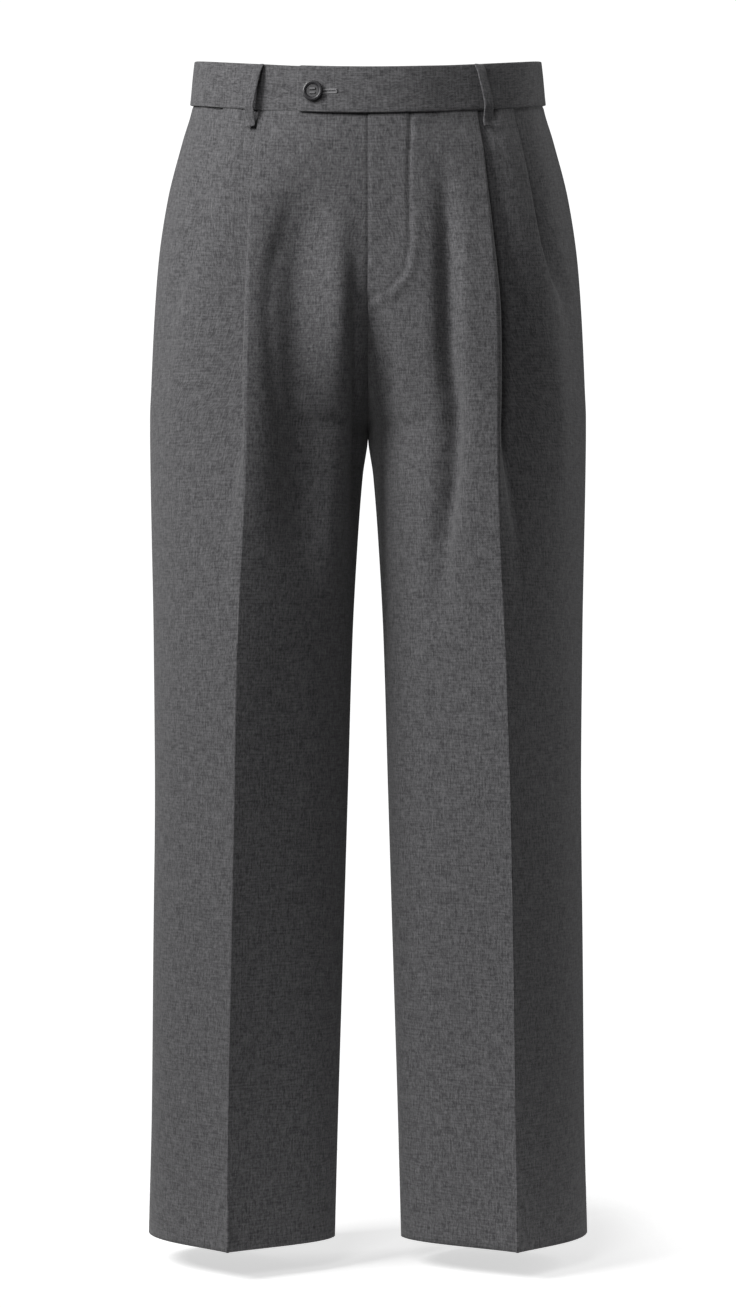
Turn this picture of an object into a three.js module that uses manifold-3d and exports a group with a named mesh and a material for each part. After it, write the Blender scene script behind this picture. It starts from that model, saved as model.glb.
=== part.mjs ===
// High-waisted double-pleated trousers, filled out as if worn, with no wearer.
// Millimetres: +Z up, -Y to the front, +X to the wearer's left. The origin is the middle of the waist.
import * as THREE from "three";
import Module from "manifold-3d";

const wasm = await Module();
wasm.setup();

// Cloth and seams
const WALL = 1.2; // one layer of flannel as built
const SEAM = 0.3; // gap left between neighbouring pieces
const HEM_WALL = 2.4; // the hem's turn-up doubles the wall
const HEM_DEPTH = 40;

// Levels: heights at the side of the body, which the waist's tilt then raises or lowers
const BAND_TOP = 26;
const BAND_FOOT = -13;
const CROTCH = -303;
const HEM = -1008;
const TILT_FADES = 317; // the tilt has gone this far below the waist seam

// Waistband
const BAND_WALL = 3;
const BAND_FACE = 2.4; // its outer face stands this far off the waist line
const BAND_CHAMFER = 0.8;
const LAP_STEP = 1.8; // the two bands part by twice this where one lies over the other
const TAB_END = 0.625; // where along the wearer's-right front the tab ends
const UNDERLAP_END = 0.38;

// Fly
const FLY_WIDTH = 37;
const FLY_BOTTOM = -180;
const FLY_LIFT = 1.6;
const FACING_WALL = 1;

// Belt loops
const LOOP_WIDTH = 9;
const LOOP_WALL = 1.8;
const LOOP_STAND = 7.3;

// Button
const BUTTON_RADIUS = 8.75;
const BUTTON_AT = 0.475; // along the wearer's-right front
const BUTTON_LEVEL = 4.2;
const SLOT_SHIFT = 8.6; // the buttonhole runs from the button towards the centre
const HOLE_RADIUS = 0.95;
const HOLE_STEP = 1.75;

// Front half sections, one row per level: side seam, centre front (or inseam), pressed crease and the
// headings of the cloth as it leaves the centre, reaches the crease and leaves it.
const FRONT = table(
  ["level", "side_x", "side_y", "crease_left", "crease_right", "crease_y", "inner_x", "inner_y",
    "inner_deg", "inner_pull", "arrive_deg", "leave_deg"],
  [
    [26, 151, 0, 90, 91, -91.5, 0, -116, 0, 32, 29, 29],
    [-13, 155, 0, 92, 92.5, -95, 0, -118, 0, 32, 30, 30],
    [-45, 164, 0, 96.5, 94.6, -108, 0, -121, 0, 33, 22, 30],
    [-96, 177, 1, 101, 98, -119, 0, -123, 0, 34, 12, 28],
    [-149, 185, 2, 105, 99.4, -126, 0, -122, -6, 34, 6, 27],
    [-190, 188.3, 3, 107.5, 99.8, -129, 0, -115, -28, 34, 2, 26],
    [-230, 190.5, 4, 108.3, 101, -130, 0, -98, -52, 36, 0, 25],
    [-265, 192, 5, 108.6, 101.8, -129.5, 0, -70, -70, 44, -2, 25],
    [-290, 193, 5, 108.8, 102, -129, 0, -36, -82, 60, -4, 25],
    [-303, 193, 5, 108.8, 102.1, -128.5, 0, 2, -90, 78, -6, 26],
    [-340, 192.6, 5, 109.3, 103, -127, 4.6, -2, -90, 74, -10, 28],
    [-400, 191.4, 4, 111.2, 106, -124, 9.2, -8, -90, 66, -17, 32],
    [-480, 189.8, 3, 115.3, 110, -120, 13.5, -12, -90, 56, -24, 36],
    [-620, 188.6, 1, 120.6, 113.2, -113, 17.7, -16, -90, 46, -30, 41],
    [-760, 190, 1, 123.5, 116.2, -107.5, 21.9, -19, -90, 40, -33, 44],
    [-900, 191.3, 1, 125.5, 119, -104, 26.2, -21, -90, 36, -35, 46],
    [-1008, 194, 2, 128, 120.3, -102, 29, -22, -90, 33, -36, 48],
  ],
);

// Back half sections: the back crease (the fullest part of the seat above it) and the centre-back seam.
const BACK = table(
  ["level", "crease_x", "crease_y", "arrive_deg", "leave_deg", "centre_y", "centre_deg", "centre_pull"],
  [
    [26, 76, 99, 153, 153, 115, 180, 30],
    [-13, 78, 101, 153, 153, 117, 180, 30],
    [-60, 86, 116, 157, 157, 121, 181, 30],
    [-120, 92, 128, 160, 162, 124, 184, 32],
    [-180, 96, 133, 162, 168, 119, 200, 34],
    [-220, 98, 132, 163, 172, 106, 222, 36],
    [-250, 99, 128, 163, 176, 87, 238, 42],
    [-275, 101, 123, 163, 180, 62, 250, 52],
    [-292, 102, 119.5, 163, 183, 34, 262, 62],
    [-303, 103, 117, 162, 186, 2, 270, 72],
    [-340, 105, 110, 160, 192, -2, 270, 68],
    [-400, 107, 101, 156, 199, -8, 270, 60],
    [-480, 109, 93, 151, 206, -12, 270, 50],
    [-620, 112, 85, 146, 212, -16, 270, 42],
    [-760, 114, 81, 142, 216, -19, 270, 38],
    [-900, 116, 79, 140, 218, -21, 270, 36],
    [-1008, 118, 78, 138, 220, -22, 270, 34],
  ],
);

// The two pleats of each front. tuck: cloth hidden under the fold; open: 0 folded flat, 1 a soft wave
// reach mm wide; rise and drop: the fold's edge above, and the cloth beyond it below, the body line.
const MAIN_PLEAT = table(
  ["level", "tuck", "open", "reach", "rise", "drop"],
  [
    [-13, 17, 0, 14, 1.6, 1.6],
    [-60, 16, 0, 14, 2, 3],
    [-110, 14, 0, 14, 3, 6],
    [-160, 11, 0, 16, 4, 9.5],
    [-210, 8, 0.08, 18, 4.5, 11.5],
    [-255, 5, 0.2, 20, 4.2, 11.5],
    [-300, 2.5, 0.4, 22, 3.2, 9.5],
    [-345, 1, 0.65, 24, 2, 6],
    [-400, 0, 0.9, 26, 0.8, 2.6],
    [-470, 0, 1, 20, 0, 0.4],
    [-560, 0, 1, 14, 0, 0],
    [-1008, 0, 1, 14, 0, 0],
  ],
);
const SECOND_PLEAT = table(
  ["level", "at", "tuck", "open", "reach", "rise", "drop"],
  [
    [-13, 0.34, 11, 0, 10, 1.6, 1.6],
    [-50, 0.33, 9, 0, 10, 2.2, 3],
    [-90, 0.33, 7, 0, 12, 2.6, 4.5],
    [-125, 0.34, 4, 0.2, 13, 2.6, 5],
    [-155, 0.38, 2, 0.5, 16, 2, 4.5],
    [-190, 0.44, 0, 0.9, 22, 1, 3],
    [-240, 0.5, 0, 1, 22, 0, 0.8],
    [-300, 0.54, 0, 1, 20, 0, 0],
    [-1008, 0.56, 0, 1, 16, 0, 0],
  ],
);

// The largest soft folds, as troughs (depth below 0: ridges) along a path of x, z points.
const FOLDS = [
  { side: 1, front: true, depth: 12, width: 9,
    path: [[64, -60], [67, -145], [68, -245], [73, -296], [70, -345], [63, -400], [60, -500]] },
  { side: -1, front: true, depth: 13, width: 22,
    path: [[54, -80], [60, -160], [60, -262], [57, -340], [54, -450]] },
  { side: -1, front: true, depth: -5, width: 10,
    path: [[26, -90], [24, -200], [25, -290], [32, -390], [38, -500]] },
  { side: 1, front: false, depth: 4, width: 16, path: [[60, -285], [95, -330], [130, -350]] },
  { side: -1, front: false, depth: 4, width: 16, path: [[55, -290], [100, -325], [135, -335]] },
];

const ROWS = [-13.3, -30, -52, -78, -106, -134, -162, -190, -218, -244, -268, -287, -303, -325, -365,
  -430, -520, -640, -800, HEM + HEM_DEPTH + 4, HEM + HEM_DEPTH, HEM];
const CENTRE_STEPS = [0, 0.08, 0.18, 0.3, 0.43, 0.56, 0.69, 0.81, 0.92, 1];
const PLEAT_STEPS = [0, 0.3, 0.65, 1];
const SIDE_STEPS = [0, 0.25, 0.5, 0.75, 1];
const BACK_STEPS = [0, 0.17, 0.34, 0.5, 0.67, 0.84, 1];

// Reads a table as smooth columns: monotone cubics through its rows, so no column overshoots.
function table(columns, rows) {
  const last = rows.length - 1;
  const step = (k, c) => (rows[k + 1][c] - rows[k][c]) / (rows[k + 1][0] - rows[k][0]);
  const slope = (k, c) => {
    if (k === 0) return step(0, c);
    if (k === last) return step(last - 1, c);
    const [a, b] = [step(k - 1, c), step(k, c)];
    return a * b <= 0 ? 0 : (2 * a * b) / (a + b);
  };
  return (level) => {
    const q = Math.min(Math.max(level, rows[last][0]), rows[0][0]);
    let k = 0;
    while (k < last - 1 && q < rows[k + 1][0]) k += 1;
    const h = rows[k + 1][0] - rows[k][0];
    const t = (q - rows[k][0]) / h;
    const row = {};
    columns.forEach((name, c) => {
      row[name] =
        rows[k][c] * (1 + 2 * t) * (1 - t) ** 2 + rows[k + 1][c] * t * t * (3 - 2 * t) +
        h * slope(k, c) * t * (1 - t) ** 2 - h * slope(k + 1, c) * t * t * (1 - t);
    });
    return row;
  };
}

const clamp01 = (v) => Math.min(Math.max(v, 0), 1);
const smooth = (v) => clamp01(v) ** 2 * (3 - 2 * clamp01(v));
const mix = (a, b, t) => a + (b - a) * t;
const heading = (deg) => [Math.cos((deg * Math.PI) / 180), Math.sin((deg * Math.PI) / 180)];

// Height of a body point: the waist slopes down to the front, and the slope dies out below it.
function height(y, level) {
  const fade = 1 - smooth((BAND_FOOT - level) / TILT_FADES);
  return level + (0.1625 * y - 0.000584 * y * y) * fade;
}

// A cubic arc between two points with the headings and pulls at its ends; at(u) is [x, y, nx, ny].
function arc(p, fromDeg, fromPull, q, toDeg, toPull) {
  const chord = Math.hypot(q[0] - p[0], q[1] - p[1]);
  const [a, b] = [heading(fromDeg), heading(toDeg)];
  const pts = [0, 1].map((i) => [p[i], p[i] + a[i] * (fromPull || chord / 3),
    q[i] - b[i] * (toPull || chord / 3), q[i]]);
  const at = (u) => {
    const v = 1 - u;
    const [x, y] = pts.map((c) =>
      c[0] * v ** 3 + 3 * c[1] * u * v * v + 3 * c[2] * u * u * v + c[3] * u ** 3);
    const [dx, dy] = pts.map((c) =>
      (c[1] - c[0]) * v * v + 2 * (c[2] - c[1]) * u * v + (c[3] - c[2]) * u * u);
    const len = Math.hypot(dx, dy);
    return [x, y, dy / len, -dx / len];
  };
  return { chord, at };
}

// The four arcs of a half section: centre front to crease to side seam to back crease to centre back.
function section(level, side) {
  const f = FRONT(level), b = BACK(level);
  const turn = Math.abs(Math.sin((f.inner_deg * Math.PI) / 180));
  const startX = f.inner_x + (SEAM / 2) * turn;
  const crease = [side > 0 ? f.crease_left : f.crease_right, f.crease_y];
  const sideSeam = [f.side_x, f.side_y];
  const backCrease = [b.crease_x, b.crease_y];
  const backTurn = Math.abs(Math.sin((b.centre_deg * Math.PI) / 180));
  const end = [f.inner_x + (SEAM / 2) * backTurn, level <= CROTCH ? f.inner_y : b.centre_y];
  const chord = Math.hypot(sideSeam[0] - crease[0], sideSeam[1] - crease[1]);
  const backChord = Math.hypot(sideSeam[0] - backCrease[0], sideSeam[1] - backCrease[1]);
  return [
    arc([startX, f.inner_y], f.inner_deg, f.inner_pull, crease, f.arrive_deg),
    arc(crease, f.leave_deg, 0, sideSeam, 90, chord * 0.4),
    arc(sideSeam, 90, backChord * 0.4, backCrease, b.arrive_deg),
    arc(backCrease, b.leave_deg, 0, end, b.centre_deg, b.centre_pull),
  ];
}

// How far the soft folds push a point in or out along the cloth's normal.
function foldDepth(x, z, side, front) {
  let sum = 0;
  for (const fold of FOLDS) {
    if (fold.side !== side || fold.front !== front) continue;
    let best = Infinity, along = 0;
    const legs = fold.path.length - 1;
    for (let k = 0; k < legs; k += 1) {
      const [ax, az] = fold.path[k], [bx, bz] = fold.path[k + 1];
      const t = clamp01(((x - ax) * (bx - ax) + (z - az) * (bz - az)) / ((bx - ax) ** 2 + (bz - az) ** 2));
      const d = Math.hypot(x - mix(ax, bx, t), z - mix(az, bz, t));
      if (d < best) [best, along] = [d, (k + t) / legs];
    }
    const ends = smooth(along / 0.25) * smooth((1 - along) / 0.25);
    sum -= fold.depth * ends * Math.exp(-((best / fold.width) ** 2));
  }
  return sum;
}

// The wearer's-left front stands out a little where the fly laps over.
const flyLift = (x, level, side) =>
  side > 0 ? FLY_LIFT * (1 - smooth((x - FLY_WIDTH) / 24)) * smooth((level - FLY_BOTTOM + 6) / 8) : 0;

// Points of one row of a front, from centre front (or inseam) to side seam, with its two pleats folded.
function frontLine(level, side) {
  const [inner, outer] = section(level, side);
  const main = MAIN_PLEAT(level), second = SECOND_PLEAT(level);
  const at = (a, curve) =>
    a < 0 && curve === inner ? inner.at(1 + a / inner.chord) : outer.at(a / outer.chord);
  const points = [];
  const put = ([x, y, nx, ny], lift) => {
    const z = height(y, level);
    const d = lift - WALL / 2 + foldDepth(x, z, side, true);
    points.push([x + nx * d, y + ny * d, z, nx, ny]);
  };
  // The fold itself: its edge, the layer going back under it and the turn into the next layer.
  const fold = (a, pleat, curve) => {
    const turn = (pleat.rise + pleat.drop) / 4;
    const shut = [turn, 0, -pleat.tuck, -pleat.tuck - turn, -pleat.tuck];
    const wave = [0.15, 0.35, 0.6, 0.8, 1];
    const shutDepth = [0.25, 0.5, 0.5, 0.75, 1];
    const waveDepth = [0.1, 0.35, 0.65, 0.9, 1];
    for (let k = 0; k < 5; k += 1)
      put(at(a + mix(shut[k], wave[k] * pleat.reach, pleat.open), curve),
        pleat.rise - mix(shutDepth[k], waveDepth[k], pleat.open) * 4 * turn);
    return mix(0, pleat.reach, pleat.open);
  };
  const flat = inner.chord - main.tuck - 4;
  for (const u of CENTRE_STEPS) {
    const p = inner.at(u);
    if (u === 0) [p[0], p[1]] = [p[0] - (p[3] * SEAM) / 2, p[1] + (p[2] * SEAM) / 2];
    put(p, main.rise * smooth((u * inner.chord) / flat) + flyLift(p[0], level, side));
  }
  const secondAt = second.at * outer.chord;
  const from = fold(0, main, inner) + 1.5;
  const rest = secondAt - second.tuck - 4;
  for (const w of PLEAT_STEPS) {
    const a = mix(from, secondAt, w);
    put(outer.at(a / outer.chord), mix(-main.drop, second.rise, smooth(a / rest)));
  }
  const start = secondAt + fold(secondAt, second, outer) + 1.5;
  for (const w of SIDE_STEPS) {
    const u = mix(start / outer.chord, 1, w);
    const p = outer.at(u);
    if (w === 1) [p[0], p[1]] = [p[0] + (p[3] * SEAM) / 2, p[1] - (p[2] * SEAM) / 2];
    put(p, -second.drop * (1 - smooth((w * (outer.chord - start)) / 30)));
  }
  return points;
}

// Points of one row of a back, from side seam to centre back (or inseam).
function backLine(level, side) {
  const [, , outer, inner] = section(level, side);
  const points = [];
  const put = (curve, u, shift) => {
    const [x, y, nx, ny] = curve.at(u);
    const z = height(y, level);
    const d = foldDepth(x, z, side, false) - WALL / 2;
    points.push([x + nx * d - ny * shift, y + ny * d + nx * shift, z, nx, ny]);
  };
  BACK_STEPS.forEach((u) => put(outer, u, u === 0 ? SEAM / 2 : 0));
  BACK_STEPS.slice(1).forEach((u) => put(inner, u, u === 1 ? -SEAM / 2 : 0));
  return points;
}

// Outward normals along a row, in its own plane: the body's own at both ends, so that neighbours' seams
// face each other, and lengthened at bends so that the wall keeps its thickness.
function rowNormals(points) {
  const dirs = points.slice(1).map((p, k) => {
    const [dx, dy] = [p[0] - points[k][0], p[1] - points[k][1]];
    const len = Math.hypot(dx, dy);
    return [dx / len, dy / len];
  });
  return points.map((p, k) => {
    if (k === 0 || k === points.length - 1) return [p[3], p[4]];
    const a = dirs[Math.max(k - 1, 0)], b = dirs[Math.min(k, dirs.length - 1)];
    const [tx, ty] = [a[0] + b[0], a[1] + b[1]];
    const len = Math.max(Math.hypot(tx, ty), 1.3);
    return [(2 * ty) / len ** 2, (-2 * tx) / len ** 2];
  });
}

// A closed shell on a grid of rows: outer face, inner face and the four edges. out and inward give
// the wall either side of each row's line.
function shell(rows, out, inward) {
  const cols = rows[0].length;
  const positions = [];
  for (const sign of [1, -1])
    rows.forEach((row, r) => {
      const normals = rowNormals(row);
      const wall = sign > 0 ? out(r) : -inward(r);
      row.forEach(([x, y, z], c) => positions.push(x + normals[c][0] * wall, y + normals[c][1] * wall, z));
    });
  const id = (face, r, c) => (face * rows.length + r) * cols + c;
  const index = [];
  const quad = (a, b, c, d) => index.push(a, b, c, a, c, d);
  for (let r = 0; r < rows.length - 1; r += 1)
    for (let c = 0; c < cols - 1; c += 1) {
      quad(id(0, r, c), id(0, r + 1, c), id(0, r + 1, c + 1), id(0, r, c + 1));
      quad(id(1, r, c), id(1, r, c + 1), id(1, r + 1, c + 1), id(1, r + 1, c));
    }
  const end = rows.length - 1;
  for (let c = 0; c < cols - 1; c += 1) {
    quad(id(0, 0, c), id(0, 0, c + 1), id(1, 0, c + 1), id(1, 0, c));
    quad(id(0, end, c), id(1, end, c), id(1, end, c + 1), id(0, end, c + 1));
  }
  for (let r = 0; r < end; r += 1) {
    quad(id(0, r, 0), id(1, r, 0), id(1, r + 1, 0), id(0, r + 1, 0));
    quad(id(0, r, cols - 1), id(0, r + 1, cols - 1), id(1, r + 1, cols - 1), id(1, r, cols - 1));
  }
  return geometry(positions, index);
}

// A closed bar through a list of equal rings of points, capped at both ends.
function bar(rings) {
  const n = rings[0].length;
  const index = [];
  for (let r = 0; r < rings.length - 1; r += 1)
    for (let k = 0; k < n; k += 1) {
      const [a, b] = [r * n + k, r * n + ((k + 1) % n)];
      index.push(a, b + n, b, a, a + n, b + n);
    }
  const last = (rings.length - 1) * n;
  for (let k = 1; k < n - 1; k += 1) index.push(0, k, k + 1, last, last + k + 1, last + k);
  return geometry(rings.flat(2), index);
}

function geometry(positions, index) {
  const made = new THREE.BufferGeometry();
  made.setAttribute("position", new THREE.Float32BufferAttribute(positions, 3));
  made.setIndex(index);
  return made;
}

// The same piece on the wearer's right: mirrored in x, with its faces turned back outwards.
function mirrored(made) {
  const flipped = made.clone().scale(-1, 1, 1);
  const index = [...flipped.index.array];
  for (let k = 0; k < index.length; k += 3) [index[k + 1], index[k + 2]] = [index[k + 2], index[k + 1]];
  flipped.setIndex(index);
  return flipped;
}

function toSolid(made) {
  return new wasm.Manifold(new wasm.Mesh({
    numProp: 3,
    vertProperties: Float32Array.from(made.attributes.position.array),
    triVerts: Uint32Array.from(made.index.array),
  }));
}

function fromSolid(solid) {
  const mesh = solid.getMesh();
  return geometry(Array.from(mesh.vertProperties), Array.from(mesh.triVerts));
}

function frontPanel(side) {
  const rows = ROWS.map((level) => frontLine(level, side));
  const made = shell(rows, () => WALL / 2, hemWall);
  return side > 0 ? made : mirrored(made);
}

function backPanel(side) {
  const rows = ROWS.map((level) => backLine(level, side));
  const made = shell(rows, () => WALL / 2, hemWall);
  return side > 0 ? made : mirrored(made);
}

const hemWall = (r) => (ROWS[r] <= HEM + HEM_DEPTH ? HEM_WALL - WALL / 2 : WALL / 2);

// A point of the body line: s runs 0 to 4 from centre front to centre back, below 0 on the
// wearer's right; the result is [x, y, nx, ny].
function bodyLine(s, level) {
  const t = Math.min(Math.abs(s), 3.9999);
  const [x, y, nx, ny] = section(level, s < 0 ? -1 : 1)[Math.floor(t)].at(t % 1);
  return s < 0 ? [-x, y, -nx, ny] : [x, y, nx, ny];
}

// Moves off the body line by its normal and along it by its tangent, at a level.
function offBody(s, level, off, sideways = 0) {
  const [x, y, nx, ny] = bodyLine(s, level);
  return [x + nx * off - ny * sideways, y + ny * off + nx * sideways, height(y, level)];
}

// One half of the waistband as a bar of eight-sided rings from s = from to s = to.
function band(from, to, count, lapSign) {
  const c = BAND_CHAMFER, inner = BAND_FACE - BAND_WALL;
  const profile = [
    [BAND_FACE, BAND_FOOT + c], [BAND_FACE, BAND_TOP - c], [BAND_FACE - c, BAND_TOP], [inner + c, BAND_TOP],
    [inner, BAND_TOP - c], [inner, BAND_FOOT + c], [inner + c, BAND_FOOT], [BAND_FACE - c, BAND_FOOT],
  ];
  const rings = [];
  for (let k = 0; k <= count; k += 1) {
    const s = mix(from, to, k / count);
    const back = Math.abs(s) > 3.999 ? -SEAM / 2 : 0;
    rings.push(profile.map(([off, level]) => {
      const lap = Math.abs(s) > 2 ? 0 : 1 - smooth((Math.abs(bodyLine(s, level)[0] + 11) - 49) / 35);
      return offBody(s, level, off + lapSign * LAP_STEP * lap, Math.sign(s) * back);
    }));
  }
  return bar(rings);
}

function waistbandLeft() {
  const slot = onTab(new THREE.BoxGeometry(21, 3.4, 12).translate(SLOT_SHIFT, 0, 0), BAND_FACE);
  return fromSolid(toSolid(band(-TAB_END, 4, 32, 1)).subtract(toSolid(welded(slot))));
}

const waistbandRight = () => band(-4, UNDERLAP_END, 30, -1);

// A strip on the fly: a grid between two x positions on the body line at each level.
function flyStrip(levels, fromX, toX, off, wall) {
  const rows = levels.map((level) => {
    const row = [];
    for (let k = 0; k <= 5; k += 1) row.push(frontAtX(mix(fromX, toX(level), k / 5), level, off));
    return row;
  });
  return shell(rows, () => wall / 2, () => wall / 2);
}

function frontAtX(x, level, off) {
  let [lo, hi] = [0, 1];
  for (let k = 0; k < 24; k += 1) {
    const mid = (lo + hi) / 2;
    if (bodyLine(mid, level)[0] < Math.abs(x)) lo = mid;
    else hi = mid;
  }
  const s = x < 0 ? -lo : lo;
  return [...offBody(s, level, off), ...bodyLine(s, level).slice(2)];
}

function flyFacing() {
  const levels = [-13.6, -30, -52, -78, -106, -134, -146, -155, -161];
  const width = (level) => FLY_WIDTH * Math.sqrt(Math.max(1 - (Math.max(-130 - level, 0) / 32) ** 2, 0.03));
  return flyStrip(levels, 1.5, (level) => Math.max(width(level), 4), -0.75, FACING_WALL);
}

const flyShield = () => flyStrip([-13.6, -30, -52, -78, -106, -134, -158], -20, () => 34, -2.75, WALL);

// A belt loop: a strip sewn down at both ends and standing off the band between them.
function beltLoop(topAt, footAt, footOff) {
  const stand = BAND_FACE + SEAM + LOOP_STAND + LOOP_WALL / 2;
  const sewn = BAND_FACE + SEAM + LOOP_WALL / 2;
  const path = [
    [footOff, -27], [footOff, -21], [mix(footOff, stand, 0.55), -15.5], [stand - 0.3, -9], [stand, 4],
    [stand - 0.3, 17], [mix(sewn, stand, 0.6), 22.6], [sewn, 25],
  ];
  const rings = path.map(([off, level], k) => {
    const [a, b] = [path[Math.max(k - 1, 0)], path[Math.min(k + 1, path.length - 1)]];
    const len = Math.hypot(b[0] - a[0], b[1] - a[1]);
    const [across, up] = [((b[1] - a[1]) / len) * (LOOP_WALL / 2), ((a[0] - b[0]) / len) * (LOOP_WALL / 2)];
    const s = mix(footAt, topAt, (level + 27) / 52);
    return [[1, 1], [1, -1], [-1, -1], [-1, 1]].map(([face, edge]) =>
      offBody(s, level + face * up, off + face * across, (edge * LOOP_WIDTH) / 2));
  });
  return bar(rings);
}

// Puts a part made along +Z, its base at 0, on the tab: +Z along the cloth's normal, +X along the tab.
function onTab(made, off) {
  const [x, y, nx, ny] = bodyLine(-BUTTON_AT, BUTTON_LEVEL);
  const z = height(y, BUTTON_LEVEL);
  const turn = new THREE.Quaternion().setFromUnitVectors(
    new THREE.Vector3(0, 0, 1), new THREE.Vector3(nx, ny, 0));
  return made.clone().rotateZ(Math.atan2(nx, -ny)).applyQuaternion(turn)
    .translate(x + nx * off, y + ny * off, z);
}

// Merges the split corners that three.js leaves for shading.
function welded(made) {
  const seen = new Map(), positions = [], index = [];
  const source = made.toNonIndexed().attributes.position;
  for (let k = 0; k < source.count; k += 1) {
    const p = [source.getX(k), source.getY(k), source.getZ(k)];
    const key = p.map((v) => Math.round(v * 1e4)).join();
    if (!seen.has(key)) {
      seen.set(key, seen.size);
      positions.push(...p);
    }
    index.push(seen.get(key));
  }
  const kept = [];
  for (let k = 0; k < index.length; k += 3)
    if (new Set(index.slice(k, k + 3)).size === 3) kept.push(...index.slice(k, k + 3));
  return geometry(positions, kept);
}

const pin = (radius, from, to, x, y) =>
  toSolid(welded(new THREE.CylinderGeometry(radius, radius, to - from, 12)
    .rotateX(Math.PI / 2).translate(x, y, (from + to) / 2)));

const HOLES = [[1, 1], [-1, 1], [-1, -1], [1, -1]].map((p) => p.map((v) => v * HOLE_STEP));

function button() {
  const r = BUTTON_RADIUS;
  const profile = [[0, 0], [r - 1.6, 0], [r - 0.4, 0.7], [r, 1.7], [r - 0.5, 2.8], [r - 1.5, 3.15],
    [r - 2.6, 2.7], [r - 3.5, 1.75], [0, 1.6]];
  const blank = new THREE.LatheGeometry(profile.map(([x, z]) => new THREE.Vector2(x, z)), 32);
  let solid = toSolid(welded(blank.rotateX(Math.PI / 2)));
  for (const [x, y] of HOLES) solid = solid.subtract(pin(HOLE_RADIUS, -1, 4, x, y));
  return onTab(fromSolid(solid), 5.7);
}

// The button's thread: a shank through the buttonhole, a pad, four strands and two bars across them.
function buttonThread() {
  let solid = pin(1.1, 1.1, 5.1, 0, 0).add(pin(3.4, 4.9, 5.4, 0, 0));
  for (const [x, y] of HOLES) solid = solid.add(pin(0.55, 5.1, 8, x, y));
  for (const y of [HOLE_STEP, -HOLE_STEP]) {
    const cross = new THREE.BoxGeometry(2 * HOLE_STEP + 1.4, 1.5, 0.8).translate(0, y, 8.1);
    solid = solid.add(toSolid(welded(cross)));
  }
  return onTab(fromSolid(solid), 0);
}

const cloth = { color: 0x5d5c5e, roughness: 0.95, metalness: 0 };
const pieces = {
  waistband_left: [waistbandLeft, cloth],
  waistband_right: [waistbandRight, cloth],
  front_left: [() => frontPanel(1), cloth],
  front_right: [() => frontPanel(-1), cloth],
  back_left: [() => backPanel(1), cloth],
  back_right: [() => backPanel(-1), cloth],
  fly_facing: [flyFacing, cloth],
  fly_shield: [flyShield, cloth],
  belt_loop_front_left: [() => beltLoop(1.03, 1.07, 3.3), cloth],
  belt_loop_front_right: [() => beltLoop(-1.0, -1.05, 3.3), cloth],
  belt_loop_side_left: [() => beltLoop(2.42, 2.42, 1.25), cloth],
  belt_loop_side_right: [() => beltLoop(-2.42, -2.42, 1.25), cloth],
  belt_loop_back: [() => beltLoop(3.9999, 3.9999, 1.25), cloth],
  button: [button, { color: 0x38373a, roughness: 0.35, metalness: 0 }],
  button_thread: [buttonThread, { color: 0x4a494b, roughness: 0.9, metalness: 0 }],
};

const group = new THREE.Group();
for (const [name, [make, finish]] of Object.entries(pieces)) {
  const mesh = new THREE.Mesh(make(), new THREE.MeshStandardMaterial(finish));
  mesh.name = name;
  group.add(mesh);
}
export default group;
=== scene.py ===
"""Dresses a packed pair of pleated flannel trousers, filled out as if worn, for a studio render.

Lengths are in millimetres and angles in degrees, unless a line says metres or radians.
"""

from __future__ import annotations

import logging
import math
from dataclasses import dataclass
from enum import Enum

import bpy
import numpy as np
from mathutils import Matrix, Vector


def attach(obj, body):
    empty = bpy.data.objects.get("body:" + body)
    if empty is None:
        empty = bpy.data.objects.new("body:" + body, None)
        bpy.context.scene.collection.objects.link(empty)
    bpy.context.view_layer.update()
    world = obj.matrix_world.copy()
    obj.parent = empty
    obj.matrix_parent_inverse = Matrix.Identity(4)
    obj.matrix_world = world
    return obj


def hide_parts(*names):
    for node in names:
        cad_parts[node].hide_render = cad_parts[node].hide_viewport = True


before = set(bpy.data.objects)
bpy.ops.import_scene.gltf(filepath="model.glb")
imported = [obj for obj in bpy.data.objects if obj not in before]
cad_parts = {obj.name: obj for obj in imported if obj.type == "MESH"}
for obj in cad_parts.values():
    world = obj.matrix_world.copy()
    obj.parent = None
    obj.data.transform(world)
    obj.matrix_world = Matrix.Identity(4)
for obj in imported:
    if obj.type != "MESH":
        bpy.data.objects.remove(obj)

Array, Object, Material, Socket = np.ndarray, bpy.types.Object, bpy.types.Material, bpy.types.NodeSocket
Colour = tuple[float, float, float, float]

log = logging.getLogger("trousers")
MM = 0.001
BODY = "root"
LAST_ARC = 3.9999  # just short of centre back, which is 4 round the waist
NO_SEAM = 99.0  # distance of a point that is near no seam, in millimetres


class Side(Enum):
    """The wearer's left is +X."""

    LEFT = 1
    RIGHT = -1


class Half(Enum):
    """Which half of a leg a panel covers."""

    FRONT = "front"
    BACK = "back"


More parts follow.
